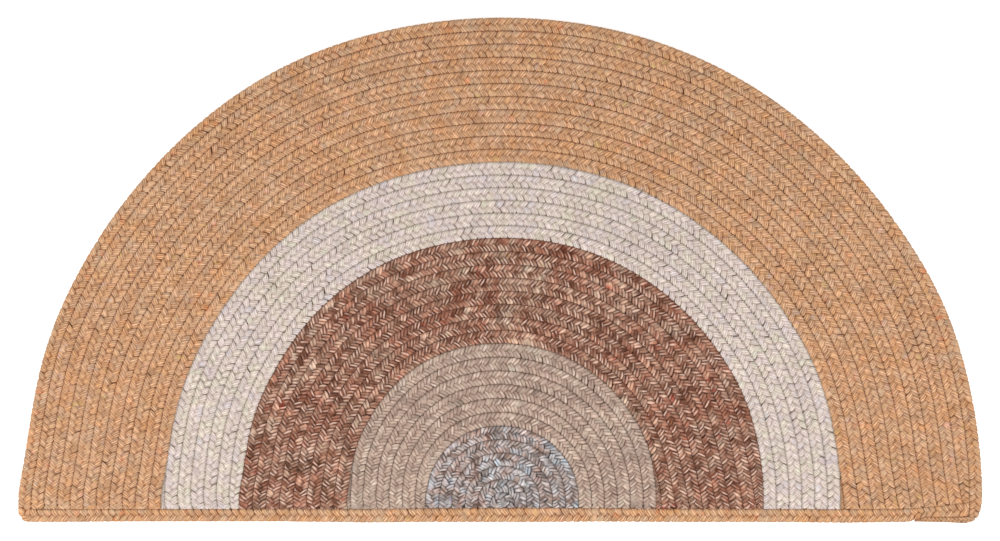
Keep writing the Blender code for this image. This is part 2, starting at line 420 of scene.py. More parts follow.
# Twisted plies and loose fibres
PLY_PITCH = 0.0032
PLY_SLANT = 0.8
PLY_RELIEF = 0.12
FUZZ = 0.5
FUZZ_DETAIL = 3.0
FIBRES_ALONG = 320.0
FIBRES_ACROSS = 7.0
FIBRE_SHADES = (0.73, 1.26)
RELIEF_STRENGTH = 0.7
RELIEF_DEPTH = 0.0005

# Painted shadow lines: how often those between yarn ends open, and how far out those beside a
# strand lie
PARTINGS = 70.0
PARTED = (0.0, 1.6)
SIDE_LINE_PLACES = (0.66, 0.96)
SIDE_LINE_DEPTHS = (0.1, 1.1)
# How much deeper or lighter the painted crease shade is from patch to patch
GAP_DEPTHS = (0.4, 1.3)

# How wool and thread take the light
WOOL_ROUGHNESS = 0.88
WOOL_SHINE = 0.06
WOOL_SHEEN = 0.04
WOOL_SHEEN_ROUGHNESS = 0.6
THREAD_ROUGHNESS = 0.7
THREAD_FIBRES = 700.0
THREAD_SHADE = 0.75
THREAD_DRIFT = (0.35, 0.65)

# Camera and light
FRAME_WIDTH_PIXELS = 1000
METRES_PER_PIXEL = 1.2647e-3
LENS = 85.0
SENSOR = 36.0
PHOTO_MIDDLE_X = 500.0
RUG_MIDDLE_X = 500.2
CLIP_END = 50.0
SIDE_REACH = 2.2
SIDE_HEIGHT = 0.9
SIDE_TURN = math.atan2(SIDE_REACH, SIDE_HEIGHT)
PANELS = (
    # name, place, turn, its two sides, power
    ("overhead_panel", (-0.2, -0.9, 1.5), 0.0, (6.0, 2.4), 61.0),
    ("left_panel", (-SIDE_REACH, 0.0, SIDE_HEIGHT), -SIDE_TURN, (1.0, 1.6), 10.0),
    ("right_panel", (SIDE_REACH, 0.0, SIDE_HEIGHT), SIDE_TURN, (1.0, 1.6), 6.0),
)
FLOOR_SIZE = 30.0
FLOOR_TONE = 0.97
FLOOR_ROUGHNESS = 0.9
FLOOR_GLOW = 0.3
SKY_STRENGTH = 0.67

# Shares of the thickness between which painted shade darkens the wool in the creases, and how much
# less at seams
DEEP_FROM = 0.55
DEEP_TO = 0.90
SEAM_RELIEF = 0.8
# How much more the painted shade darkens along the middle of a row, as a share of the height, and
# how far out
MIDDLE_CREASE = 0.03
MIDDLE_REACH = 0.30


def linear(screen_value):
    """Light's share for one screen colour value."""
    if screen_value <= 0.04045:
        return screen_value / 12.92
    return ((screen_value + 0.055) / 1.055) ** 2.4


def linear_colour(screen_colour):
    """A screen colour as a node colour."""
    return tuple(linear(value) for value in screen_colour) + (1.0,)


# Plan of the rug

def bulge(angle):
    """How far the rim swells in one direction."""
    degrees = np.degrees(angle)
    swell = np.zeros_like(degrees)
    for at, rise, spread in BULGES:
        swell += rise * np.exp(-0.5 * ((degrees - at) / spread) ** 2)
    return swell


def inner_bulge(angle, radius):
    """How far a ring of the middle bands swells in one direction."""
    degrees = np.degrees(angle)
    swell = 0.0
    for at, rise, spread, full_at, reach in INNER_BULGES:
        off = ((degrees - at) / spread) ** 2 + ((radius - full_at) / reach) ** 2
        swell += rise * np.exp(-0.5 * off)
    return swell


def leaned(seam, x, y):
    """Where points of a seam come to lie as it leans at its feet."""
    right, left = seam[3:]
    amount, height, power = (np.where(x > 0.0, *feet) for feet in zip(right, left))
    return x + amount * np.clip(1.0 - (y - BASE_SEAM) / height, 0.0, 1.0) ** power


def ring_radius(seam, angle, offset):
    """A seam's distance from the centre it turns round."""
    _, end_radius, crown_radius = seam[:3]
    blend = np.maximum(np.sin(angle), 0.0) ** SETTLE_POWER
    radius = end_radius + (crown_radius - end_radius) * blend
    return radius + bulge(angle) * radius / RIM_RADIUS + inner_bulge(angle, radius) + offset


def seam_points(seam, angle, offset):
    """Points beside a ring seam, moved out by an offset."""
    radius = ring_radius(seam, angle, offset)
    x = radius * np.cos(angle)
    y = seam[0] + radius * np.sin(angle)
    return np.column_stack((leaned(seam, x, y), y))


def base_seam(x):
    """The height of the seam above the straight side's plait."""
    return np.interp(x, STRAIGHT_SIDE[:, 0], STRAIGHT_SIDE[:, 1])


def foot(seam, angle, offset):
    """The place beside a seam where it meets the straight side's plait."""
    x = float(ring_radius(seam, angle, offset) * np.cos(angle))
    x = float(leaned(seam, x, base_seam(x)))
    return x, float(base_seam(x)) + SEAM_GAP / 2


def leaning(seam, side, lean):
    """The same seam with a lean, a height above which it stops and a power, at one foot."""
    right = lean if side == "right" else seam[3]
    left = lean if side == "left" else seam[4]
    return seam[:3] + (right, left)


def seams():
    """The seams from the hairpin outwards, with the colour band inside each.

    A seam is the height of the centre it turns round, its end radius, its crown radius
    and how it leans at its right and left feet.
    """
    lines = [("core", (HAIRPIN_CENTRE, HAIRPIN_RADIUS, HAIRPIN_RADIUS, UPRIGHT, UPRIGHT))]
    lines.append(("core", (0.0, SECOND_END_RADIUS, SECOND_CROWN_RADIUS, UPRIGHT, UPRIGHT)))
    for name, rows, end_radius, crown_radius in BANDS:
        _, start_end, start_crown = lines[-1][1][:3]
        side, leaning_seams, lean = LEANS.get(name, ("right", 0, 0.0))
        for row in range(1, rows + 1):
            share = row / rows
            end = start_end + (end_radius - start_end) * share
            crown = start_crown + (crown_radius - start_crown) * share
            seam = (0.0, end, crown, UPRIGHT, UPRIGHT)
            if row <= leaning_seams:
                seam = leaning(seam, side, (lean, LEAN_HEIGHT, LEAN_POWER))
            lines.append((name, seam))
    return lines


def arc_angles(radius):
    """Directions along a half ring, close enough for its curve."""
    count = max(LEAST_ARC_STEPS, math.ceil(math.pi * radius / STATION_SPACING))
    return np.linspace(0.0, math.pi, count + 1)


def with_height(inner, outer, height=THICKNESS):
    """Sections as rows of inner x and y, outer x and y, and height."""
    return np.column_stack((inner, outer, np.full(len(inner), height)))


def ring_stations(inner_seam, outer_seam):
    """Sections across one half ring, from its right end round to its left end."""
    half_gap = SEAM_GAP / 2
    angle = arc_angles(outer_seam[1])
    inner = seam_points(inner_seam, angle, half_gap)
    arc = with_height(inner, seam_points(outer_seam, angle, -half_gap))
    ends = []
    for at in (0.0, math.pi):
        inner_foot = foot(inner_seam, at, half_gap)
        ends.append((*inner_foot, *foot(outer_seam, at, -half_gap), THICKNESS))
    return np.vstack((ends[0], arc, ends[1]))


def tucked_stations(inner_seam, outer_seam, side):
    """Sections along a plait's thin end between two seams, from its foot up to its tip."""
    stations = ring_stations(inner_seam, outer_seam)
    if side == "left":
        stations = stations[::-1]
    width = np.hypot(*(stations[:, 2:4] - stations[:, 0:2]).T)
    last = int(np.argmax(width < TIP_WIDTH))
    share = (width[last - 1] - TIP_WIDTH) / (width[last - 1] - width[last])
    tip = stations[last - 1] + (stations[last] - stations[last - 1]) * share
    return np.vstack((stations[:last], tip))


def left_corner(inner_seam, outer_seam):
    """Sections across the edge plait as it folds round the left corner."""
    half_gap = SEAM_GAP / 2
    straight_up = np.array((math.pi,))
    inner_x = seam_points(inner_seam, straight_up, half_gap)[0, 0]
    outer_x = seam_points(outer_seam, straight_up, 0.0)[0, 0]
    angle = math.pi * np.linspace(1.0, 1.5, CORNER_SECTIONS)
    turn = np.column_stack((np.cos(angle), np.sin(angle)))
    fold = np.array((inner_x + LEFT_FOLD_RADIUS, BASE_SEAM - half_gap + LEFT_FOLD_RADIUS))
    rounded = np.array((outer_x + LEFT_CORNER_RADIUS, BASE_EDGE + LEFT_CORNER_RADIUS))
    inner = fold + LEFT_FOLD_RADIUS * turn
    outer = rounded + LEFT_CORNER_RADIUS * turn
    return with_height(inner, outer)


def edge_stations(inner_seam, outer_seam):
    """Sections across the edge plait: tail, right side, arc, left corner and straight side."""
    half_gap = SEAM_GAP / 2
    angle = arc_angles(RIM_RADIUS)
    arc = with_height(seam_points(inner_seam, angle, half_gap), seam_points(outer_seam, angle, 0.0))
    x, seam_y, lower_y = STRAIGHT_SIDE.T
    run = with_height(np.column_stack((x, seam_y - half_gap)), np.column_stack((x, lower_y)))
    return np.vstack((TAIL, arc, left_corner(inner_seam, outer_seam), run))


# Plaits

def running(steps):
    """Lengths from the start of a row of steps to the end of each."""
    return np.concatenate(((0.0,), np.cumsum(steps)))


class Course:
    """The way a plait takes: a point at any length along it, across it and up."""

    def __init__(self, stations, middle):
        self.inner = stations[:, 0:2] - middle
        self.outer = stations[:, 2:4] - middle
        self.height = stations[:, 4]
        centre = (self.inner + self.outer) / 2
        self.along = running(np.hypot(*np.diff(centre, axis=0).T))
        self.length = self.along[-1]

    def half_width(self, along):
        """Half the plait's width at a length along it."""
        width = np.hypot(*(self.outer - self.inner).T)
        return np.interp(along, self.along, width) / 2

    def place(self, along, across, up):
        """World points from length, share of the half width and share of the height."""
        share = (across + 1.0) / 2
        points = []
        for axis in (0, 1):
            inner = np.interp(along, self.along, self.inner[:, axis])
            outer = np.interp(along, self.along, self.outer[:, axis])
            points.append(inner + (outer - inner) * share)
        points.append(up * np.interp(along, self.along, self.height))
        return np.stack(points, axis=-1)


def uneven(rng, along, unevenness):
    """A smooth random wave along a plait, of one size and with one knot each reach."""
    size, reach = unevenness
    knots = rng.uniform(-1.0, 1.0, int(along[-1] / reach) + 4)
    place = along / reach + 1.0
    low = np.floor(place).astype(int)
    low = np.minimum(low, len(knots) - 2)
    share = place - low
    share = share * share * (3.0 - 2.0 * share)
    return size * (knots[low] * (1.0 - share) + knots[low + 1] * share)


def tube_faces(rings, sides, first):
    """Quads round a tube and over its two ends."""
    ring = np.arange(rings - 1)[:, None] * sides
    side = np.arange(sides)[None, :]
    after = (side + 1) % sides
    beyond = ring + sides
    walls = np.stack((ring + side, ring + after, beyond + after, beyond + side), axis=-1)
    walls = walls.reshape(-1, 4)
    start = np.array(END_QUADS[sides])
    finish = start[:, ::-1] + (rings - 1) * sides
    return np.vstack((walls, start, finish)) + first


def whole_lay():
    """A strand's way through a whole turn, its second half mirrored from the first."""
    mirrored = LAY * (1.0, -1.0, 1.0, -1.0, 1.0, 1.0) + (180.0, 0.0, 0.0, 180.0, 0.0, 0.0)
    whole = np.vstack((LAY, mirrored, LAY[:1] + (360.0, 0.0, 0.0, 0.0, 0.0, 0.0)))
    whole[:, 0] /= 360.0
    return whole


def turns_along(course, turn, rng):
    """How many turns a plait's strands have made at each place; a narrower plait turns faster."""
    along = np.linspace(0.0, course.length, math.ceil(course.length / STATION_SPACING) + 1)
    fineness = (course.half_width(along) / USUAL_HALF_WIDTH) ** FINENESS_POWER
    fineness = np.clip(fineness, *FINENESS_LIMITS)
    pace = 1.0 / (turn * fineness * (1.0 + uneven(rng, along, PACE_UNEVENNESS)))
    steps = (pace[1:] + pace[:-1]) / 2 * np.diff(along)
    return along, running(steps)


def strand_stations(along, turns, offset, lay):
    """Places along a plait where one strand needs a section, and how far through a turn it is."""
    first = math.floor(offset - turns[-1]) - 1
    last = math.ceil(offset) + 1
    knots = (np.arange(first, last)[:, None] + lay[None, :-1, 0]).reshape(-1)
    places = np.interp(offset - knots, turns, along, left=-1.0, right=-1.0)
    inside = (places > END_CLEARANCE) & (places < along[-1] - END_CLEARANCE)
    places = np.concatenate(((0.0,), np.sort(places[inside]), (along[-1],)))
    return places, (offset - np.interp(places, along, turns)) % 1.0


def eased(share, knee):
    """A share of a half width that settles softly at one past its knee."""
    reach = 1.0 - knee
    size = np.abs(share)
    beyond = np.maximum(size - knee, 0.0)
    return np.sign(share) * (np.minimum(size, knee) + reach * np.tanh(beyond / reach))


def strand_mesh(course, along, turns, offset, rng):
    """One strand of a plait: points, ring count, and what the wool's nodes read at each point."""
    lay = whole_lay()
    turns = turns + uneven(rng, along, TURN_UNEVENNESS)
    places, through = strand_stations(along, turns, offset, lay)
    columns = [np.interp(through, lay[:, 0], column) for column in lay[:, 1:].T]
    across, up, lean, fullness, breadth = columns
    pressed = np.clip(1.0 - np.minimum(places, course.length - places) / END_PRESS, 0.0, 1.0)
    up = up * (1.0 - END_SINK * pressed)
    fullness = fullness + pressed
    half_width = course.half_width(places)
    half_height = THICKNESS / 2
    y = across * SWING_SHARE * half_width * (1.0 + uneven(rng, places, SWING_UNEVENNESS))
    z = up * (1.0 - STRAND_HALF_HEIGHT_SHARE) * half_height
    centre = np.column_stack((places, y, z))
    start, finish = centre[1:2] - centre[:1], centre[-1:] - centre[-2:-1]
    tangent = np.vstack((start, centre[2:] - centre[:-2], finish))
    tangent /= np.linalg.norm(tangent, axis=1)[:, None]
    lean = np.radians(lean)
    thick = np.column_stack((np.zeros(len(lean)), np.sin(lean), np.cos(lean)))
    thick -= (thick * tangent).sum(axis=1)[:, None] * tangent
    thick /= np.linalg.norm(thick, axis=1)[:, None]
    wide = np.cross(thick, tangent)
    breadth = breadth + pressed + uneven(rng, places, BREADTH_UNEVENNESS)
    width = STRAND_HALF_WIDTH_SHARE * half_width * breadth
    height = STRAND_HALF_HEIGHT_SHARE * half_height * fullness
    height = height * (1.0 + uneven(rng, places, HEIGHT_UNEVENNESS))
    section_across, section_up = STRAND_SECTION.T
    points = (
        centre[:, None, :]
        + wide[:, None, :] * (width[:, None] * section_across)[..., None]
        + thick[:, None, :] * (height[:, None] * section_up)[..., None]
    )
    points[0, :, 0] = 0.0
    points[-1, :, 0] = course.length
    local_along = np.clip(points[..., 0], 0.0, course.length)
    raw_across = points[..., 1] / course.half_width(local_along)
    raw_up = points[..., 2] / half_height
    beside = np.clip((np.abs(raw_across) - SQUARED_FROM) / (1.0 - SQUARED_FROM), 0.0, 1.0)
    off_middle = np.clip(np.abs(raw_up), 0.0, 1.0)
    local_across = eased(raw_across * (1.0 + SQUARED_OUT * off_middle), EDGE_KNEE)
    local_up = eased(raw_up * (1.0 + SQUARED_UP * beside), FACE_KNEE)
    skin = course.place(local_along, local_across, (local_up + 1.0) / 2).reshape(-1, 3)
    strand_along = running(np.linalg.norm(np.diff(centre, axis=0), axis=1))
    # How high a point lies, which sets the painted shade in creases: less of it beside seams, more
    # along a row's middle
    middle = np.clip(1.0 - np.abs(raw_across) / MIDDLE_REACH, 0.0, 1.0)
    shade_lift = 1.0 - (1.0 - np.abs(local_up)) * (1.0 - SEAM_RELIEF * beside) - MIDDLE_CREASE * middle
    attributes = {
        "yarn_along": np.repeat(strand_along, len(STRAND_SECTION)),
        "yarn_across": np.tile(section_across, len(places)),
        "shade_lift": shade_lift.reshape(-1),
    }
    return skin, len(places), attributes


def face_corners(left, right, low, high):
    """A face's four corners on the map."""
    return (left, low), (left, high), (right, high), (right, low)


def bake_map(mesh, ring_counts, sides):
    """A map for textures: each tube's skin laid out in level strips, its ends in a last strip."""
    segments = sum(count - 1 for count in ring_counts)
    rows = max(2, round(math.sqrt(segments * STRIP_STEP / STRIP_GIRTH)))
    per_row = math.ceil(segments / rows)
    rows = math.ceil(segments / per_row) + 1
    end_faces = 2 * len(END_QUADS[sides])
    inner_share = 1.0 - 2.0 * STRIP_MARGIN
    corners = np.zeros((len(mesh.loops) // 4, 4, 2))
    face = 0
    segment = 0
    ends = 0
    for count in ring_counts:
        here = np.arange(segment, segment + count - 1)
        row = here // per_row
        left = (here % per_row) / per_row
        right = left + 1.0 / per_row
        for side in range(sides):
            low = (row + STRIP_MARGIN + inner_share * side / sides) / rows
            high = (row + STRIP_MARGIN + inner_share * (side + 1) / sides) / rows
            at = face + np.arange(count - 1) * sides + side
            for corner, place in enumerate(face_corners(left, right, low, high)):
                corners[at, corner] = np.column_stack(place)
        face += (count - 1) * sides
        segment += count - 1
        low = (rows - 1 + STRIP_MARGIN) / rows
        high = (rows - STRIP_MARGIN) / rows
        for _ in range(end_faces):
            left_end = ends / (end_faces * len(ring_counts))
            right_end = (ends + END_FACE_SHARE) / (end_faces * len(ring_counts))
            corners[face] = face_corners(left_end, right_end, low, high)
            face += 1
            ends += 1
    uv_map = mesh.uv_layers.new(name="OFBake")
    uv_map.data.foreach_set("uv", corners.reshape(-1).astype(np.float32))


def tubes_object(name, tubes, material, sides):
    """One mesh from several tubes, each given as points, ring count and attributes."""
    places = np.vstack([points for points, _, _ in tubes])
    faces = []
    first = 0
    for points, count, _ in tubes:
        faces.append(tube_faces(count, sides, first))
        first += len(points)
    faces = np.vstack(faces)
    mesh = bpy.data.meshes.new(name)
    mesh.from_pydata(places, [], faces)
    for attribute_name in tubes[0][2]:
        values = np.concatenate([attributes[attribute_name] for _, _, attributes in tubes])
        attribute = mesh.attributes.new(attribute_name, "FLOAT", "POINT")
        attribute.data.foreach_set("value", values.astype(np.float32))
    bake_map(mesh, [count for _, count, _ in tubes], sides)
    mesh.shade_smooth()
    mesh.materials.append(material)
    piece = bpy.data.objects.new(name, mesh)
    bpy.context.scene.collection.objects.link(piece)
    return piece


def plait(name, stations, turn, material, middle, rng):
    """One row of the rug: three strands plaited together."""
    course = Course(stations, middle)
    along, turns = turns_along(course, turn, rng)
    offset = rng.uniform(0.0, 1.0)
    tubes = []
    for strand in range(STRANDS):
        start = offset + strand / STRANDS
        points, count, attributes = strand_mesh(course, along, turns, start, rng)
        attributes["yarn_number"] = np.full(len(points), rng.uniform(0.0, MOST_YARN_NUMBER))
        attributes["strand_tone"] = np.full(len(points), (strand + 0.5) / STRANDS)
        tubes.append((points, count, attributes))
    return tubes_object(name, tubes, material, len(STRAND_SECTION))


# Lacing

def lacing_tube(line, rng):
    """The thread in one seam: it swings a little aside and dips between its stitches."""
    along = running(np.hypot(*np.diff(line, axis=0).T))
    count = math.ceil(along[-1] / LACING_SPACING) + 1
    places = np.linspace(0.0, along[-1], count)
    centre = np.column_stack([np.interp(places, along, line[:, axis]) for axis in (0, 1)])
    tangent = np.gradient(centre, axis=0)
    tangent /= np.linalg.norm(tangent, axis=1)[:, None]
    aside = np.column_stack((-tangent[:, 1], tangent[:, 0]))
    odd = np.arange(count) % 2
    swing = LACING_SWING * np.where(odd, 1.0, -1.0) * rng.uniform(LACING_LEAST_SWING, 1.0, count)
    section_across, section_up = LACING_SECTION.T
    sideways = swing[:, None] + LACING_HALF_WIDTH * section_across[None, :]
    flat = centre[:, None, :] + aside[:, None, :] * sideways[..., None]
    dip = LACING_DIP_SHARE * np.where(odd, 1.0, 0.0) * rng.uniform(0.0, 1.0, count)
    up = (LACING_HEIGHT_SHARE - dip[:, None]) * THICKNESS + LACING_HALF_HEIGHT * section_up[None, :]
    points = np.concatenate((flat, up[..., None]), axis=2).reshape(-1, 3)
    attributes = {"yarn_along": np.repeat(places, len(LACING_SECTION))}
    return points, count, attributes


def seam_line(seam):
    """The middle of a ring seam from one end of the straight side to the other."""
    points = seam_points(seam, arc_angles(seam[1]), 0.0)
    return np.vstack((foot(seam, 0.0, 0.0), points, foot(seam, math.pi, 0.0)))


def tucked_line(stations, side):
    """The seam between a tucked end and the first or last row of its own band."""
    return stations[:, 2:4] if side == "right" else stations[:, 0:2]


def lacing(lines, tucked, middle, thread, rng):
    """The lacing thread of each colour band, and that above the straight side's plait."""
    pieces = []
    for band in TURN:
        courses = [seam_line(seam) for name, seam in lines[:-1] if name == band]
        courses += tucked.get(band, [])
        tubes = [lacing_tube(course - middle, rng) for course in courses]
        piece = tubes_object(f"{band}_lacing", tubes, thread[band], len(LACING_SECTION))
        pieces.append((piece, band))
    tubes = [lacing_tube(line - middle, rng) for line in (STRAIGHT_SIDE[:, 0:2], TAIL_SEAM)]
    straight = tubes_object("straight_side_lacing", tubes, thread["wheat"], len(LACING_SECTION))
    return pieces + [(straight, "wheat")]


# Materials

def link(tree, source, target):
    """Join one node's output to another node's input."""
    tree.links.new(source, target)


def feed(tree, socket, value):
    """Give a socket another socket's output, or a plain value."""
    if isinstance(value, bpy.types.NodeSocket):
        link(tree, value, socket)
    else:
        socket.default_value = value


def math_node(tree, operation, *values):
    """A Math node fed by sockets or numbers."""
    node = tree.nodes.new("ShaderNodeMath")
    node.operation = operation
    for socket, value in zip(node.inputs, values):
        feed(tree, socket, value)
    return node.outputs[0]


def plus(tree, first, second):
    """Two numbers added."""
    return math_node(tree, "ADD", first, second)


def times(tree, first, second):
    """Two numbers multiplied."""
    return math_node(tree, "MULTIPLY", first, second)


def held(tree, value):
    """A number kept between nothing and one."""
    return math_node(tree, "MINIMUM", math_node(tree, "MAXIMUM", value, 0.0), 1.0)


def new_group(name, inputs, outputs):
    """An empty group: the numbers that each material sets for itself, and those it gives back."""
    tree = bpy.data.node_groups.new(name, "ShaderNodeTree")
    for way, socket_names in (("INPUT", inputs), ("OUTPUT", outputs)):
        for socket_name in socket_names:
            tree.interface.new_socket(name=socket_name, in_out=way, socket_type="NodeSocketFloat")
    return tree, tree.nodes.new("NodeGroupInput"), tree.nodes.new("NodeGroupOutput")


def attribute_value(tree, name):
    """A number stored on the mesh."""
    node = tree.nodes.new("ShaderNodeAttribute")
    node.attribute_name = name
    return node.outputs["Fac"]


def yarn_ends(tree, given):
    """Which of a strand's yarn ends a place is on, as a number, and its place across that end."""
    side = math_node(tree, "MULTIPLY_ADD", attribute_value(tree, "yarn_across"), HALF_ACROSS, 0.5)
    share = times(tree, side, given.outputs["Yarn Ends"])
    start = times(tree, math_node(tree, "FLOOR", share), YARN_END_START)
    number = plus(tree, attribute_value(tree, "yarn_number"), start)
    return number, math_node(tree, "FRACT", share)


def smooth_noise(tree, place, low, high):
    """A number that drifts softly from place to place, between two limits."""
    node = tree.nodes.new("ShaderNodeTexNoise")
    node.noise_dimensions = "1D"
    node.inputs["Scale"].default_value = 1.0
    node.inputs["Detail"].default_value = 1.0
    link(tree, place, node.inputs["W"])
    return mapped(tree, node.outputs["Fac"], low, high, *YARN_DRIFT)


def above(tree, value, share, softness):
    """A soft mask of the places where a drifting number is in its highest share."""
    start = math_node(tree, "SUBTRACT", 1.0, share)
    over = math_node(tree, "SUBTRACT", value, start)
    return held(tree, math_node(tree, "DIVIDE", over, softness))


def patch_noise(tree, scale, low, high):
    """A number that drifts softly over the rug, whatever strand it is on."""
    place = tree.nodes.new("ShaderNodeTexCoord")
    node = tree.nodes.new("ShaderNodeTexNoise")
    node.inputs["Scale"].default_value = scale
    node.inputs["Detail"].default_value = 1.0
    link(tree, place.outputs["Object"], node.inputs["Vector"])
    return mapped(tree, node.outputs["Fac"], low, high, *PATCH_DRIFT)


def heather_group():
    """Dyed wool: slow drifts of tone and shade and short flecks, with a painted highlight along the
    ridge of yarn ends.
    """
    looks = ("Tone", "Shade", "Fleck", "Fleck Tone", "Highlight", "Cast")
    tree, given, result = new_group("Heathered yarn and painted highlights", HEATHER_COLUMNS, looks)
    number, share = yarn_ends(tree, given)
    along = attribute_value(tree, "yarn_along")
    strand_number = attribute_value(tree, "yarn_number")

    drifts = math_node(tree, "DIVIDE", along, given.outputs["Drift Length"])
    drift = smooth_noise(tree, plus(tree, drifts, strand_number), 0.0, 0.5)
    drift = plus(tree, drift, patch_noise(tree, TONE_PATCHES, 0.0, 0.5))
    drift = mapped(tree, drift, 0.0, 1.0, *TONE_DRIFT)
    own = times(tree, drift, math_node(tree, "SUBTRACT", 1.0, given.outputs["Strand Share"]))
    strand = times(tree, attribute_value(tree, "strand_tone"), given.outputs["Strand Share"])
    link(tree, plus(tree, own, strand), result.inputs["Tone"])

    lengths = math_node(tree, "DIVIDE", along, given.outputs["Fleck Length"])
    own_lengths = plus(tree, lengths, strand_number)
    fleck = smooth_noise(tree, plus(tree, own_lengths, FLECK_START), 0.0, 0.5)
    fleck = plus(tree, fleck, patch_noise(tree, FLECK_PATCHES, 0.0, 0.5))
    fleck = above(tree, fleck, given.outputs["Fleck Share"], FLECK_SOFTNESS)
    link(tree, fleck, result.inputs["Fleck"])
    link(tree, patch_noise(tree, FLECK_TONE_PATCHES, 0.0, 1.0), result.inputs["Fleck Tone"])

    end_lengths = plus(tree, lengths, number)
    end = smooth_noise(tree, end_lengths, -1.0, 1.0)
    # A painted highlight along the crest of some yarn ends
    crest = smooth_noise(tree, plus(tree, end_lengths, CREST_START), *CREST_PLACES)
    off_crest = math_node(tree, "ABSOLUTE", math_node(tree, "SUBTRACT", share, crest))
    ridge = mapped(tree, off_crest, 1.0, 0.0, *RIDGE_FADE)
    lit = smooth_noise(tree, plus(tree, end_lengths, LIT_START), 0.0, 1.0)
    lit = above(tree, lit, given.outputs["Ridge Share"], RIDGE_SOFTNESS)
    link(tree, times(tree, ridge, lit), result.inputs["Highlight"])
    link(tree, patch_noise(tree, CAST_PATCHES, 0.0, 1.0), result.inputs["Cast"])

    far = math_node(tree, "MULTIPLY_ADD", drifts, SHADE_PACE, strand_number)
    shaded = smooth_noise(tree, plus(tree, far, SHADE_START), -1.0, 1.0)
    shaded = math_node(tree, "MULTIPLY_ADD", shaded, given.outputs["Strand Shade"], 1.0)
    end = math_node(tree, "MULTIPLY_ADD", end, given.outputs["End Shade"], 1.0)
    patch = patch_noise(tree, SHADE_PATCHES, *PATCH_SHADES)
    link(tree, times(tree, times(tree, shaded, end), patch), result.inputs["Shade"])
    return tree


def fibre_group():
    """Twisted plies, loose fibres, and thin painted shadows between yarn ends and beside strands.
    """
    settings = ("Ply Pitch", "Fuzz", "Line Depth", "Line Reach", "Side Depth", "Yarn Ends")
    looks = ("Height", "Fibre Shade", "Line", "Gap")
    tree, given, result = new_group("Wool fibres and painted shadows", settings, looks)
    number, share = yarn_ends(tree, given)
    along = attribute_value(tree, "yarn_along")
    across = attribute_value(tree, "yarn_across")

    other = math_node(tree, "SUBTRACT", 1.0, share)
    round_end = times(tree, times(tree, share, other), 4.0)
    turns = math_node(tree, "DIVIDE", along, given.outputs["Ply Pitch"])
    slant = math_node(tree, "MULTIPLY_ADD", share, PLY_SLANT, turns)
    wave = math_node(tree, "SINE", times(tree, slant, 2.0 * math.pi))
    ply = math_node(tree, "MULTIPLY_ADD", wave, PLY_RELIEF, round_end)

    stretched = tree.nodes.new("ShaderNodeCombineXYZ")
    link(tree, times(tree, along, FIBRES_ALONG), stretched.inputs["X"])
    link(tree, times(tree, across, FIBRES_ACROSS), stretched.inputs["Y"])
    link(tree, number, stretched.inputs["Z"])
    fuzz = tree.nodes.new("ShaderNodeTexNoise")
    fuzz.inputs["Scale"].default_value = 1.0
    fuzz.inputs["Detail"].default_value = FUZZ_DETAIL
    link(tree, stretched.outputs[0], fuzz.inputs["Vector"])
    relief = math_node(tree, "MULTIPLY_ADD", fuzz.outputs["Fac"], given.outputs["Fuzz"], ply)
    link(tree, relief, result.inputs["Height"])
    link(tree, fuzz.outputs["Fac"], result.inputs["Fibre Shade"])

    # Painted shadow lines between yarn ends and beside strands, and patches that deepen the painted
    # crease shade
    partings = plus(tree, times(tree, along, PARTINGS), attribute_value(tree, "yarn_number"))
    parted = held(tree, smooth_noise(tree, partings, *PARTED))
    opened = math_node(tree, "DIVIDE", round_end, given.outputs["Line Reach"])
    closed = math_node(tree, "MAXIMUM", math_node(tree, "SUBTRACT", 1.0, opened), 0.0)
    inner = times(tree, times(tree, closed, parted), given.outputs["Line Depth"])
    side = mapped(tree, math_node(tree, "ABSOLUTE", across), 0.0, 1.0, *SIDE_LINE_PLACES)
    side = times(tree, side, patch_noise(tree, SIDE_LINE_PATCHES, *SIDE_LINE_DEPTHS))
    side = times(tree, side, given.outputs["Side Depth"])
    link(tree, math_node(tree, "MAXIMUM", inner, side), result.inputs["Line"])
    link(tree, patch_noise(tree, GAP_PATCHES, *GAP_DEPTHS), result.inputs["Gap"])
    return tree


def placed_group(tree, group, values):
    """A group put in a material, with values in the order of the group's inputs."""
    node = tree.nodes.new("ShaderNodeGroup")
    node.node_tree = group
    for socket, value in zip(node.inputs, values):
        socket.default_value = value
    return node


def mapped(tree, value, low, high, start=0.0, end=1.0):
    """A number between start and end spread between two limits."""
    node = tree.nodes.new("ShaderNodeMapRange")
    for socket, number in zip(node.inputs, (value, start, end, low, high)):
        feed(tree, socket, number)
    return node.outputs["Result"]


def tone_scale(tree, value, tones):
    """A colour ramp through a list of screen colours."""
    ramp = tree.nodes.new("ShaderNodeValToRGB")
    stops = ramp.color_ramp.elements
    for number, (start, *screen_colour) in enumerate(tones):
        stop = stops[number] if number < 2 else stops.new(start)
        stop.position = start
        stop.color = linear_colour(screen_colour)
    link(tree, value, ramp.inputs["Fac"])
    return ramp.outputs["Color"]


def mixed(tree, first, second, share, blend="MIX"):
    """Two colours blended by a mask."""
    node = tree.nodes.new("ShaderNodeMix")
    node.data_type = "RGBA"
    node.blend_type = blend
    for name, value in (("Factor", share), ("A", first), ("B", second)):
        feed(tree, node.inputs[name], value)
    return node.outputs["Result"]


def multiplied(tree, colour, factor):
    """A colour made darker or lighter by a number, or tinted by another colour."""
    return mixed(tree, colour, factor, 1.0, "MULTIPLY")


def passing(tree, colour, tone, share):
    """A colour that passes into one screen colour by a mask."""
    return mixed(tree, colour, linear_colour(tone), share)


def new_material(name):
    """A material, its tree and its shader."""
    material = bpy.data.materials.new(name)
    material.use_nodes = True
    tree = material.node_tree
    return material, tree, tree.nodes["Principled BSDF"]


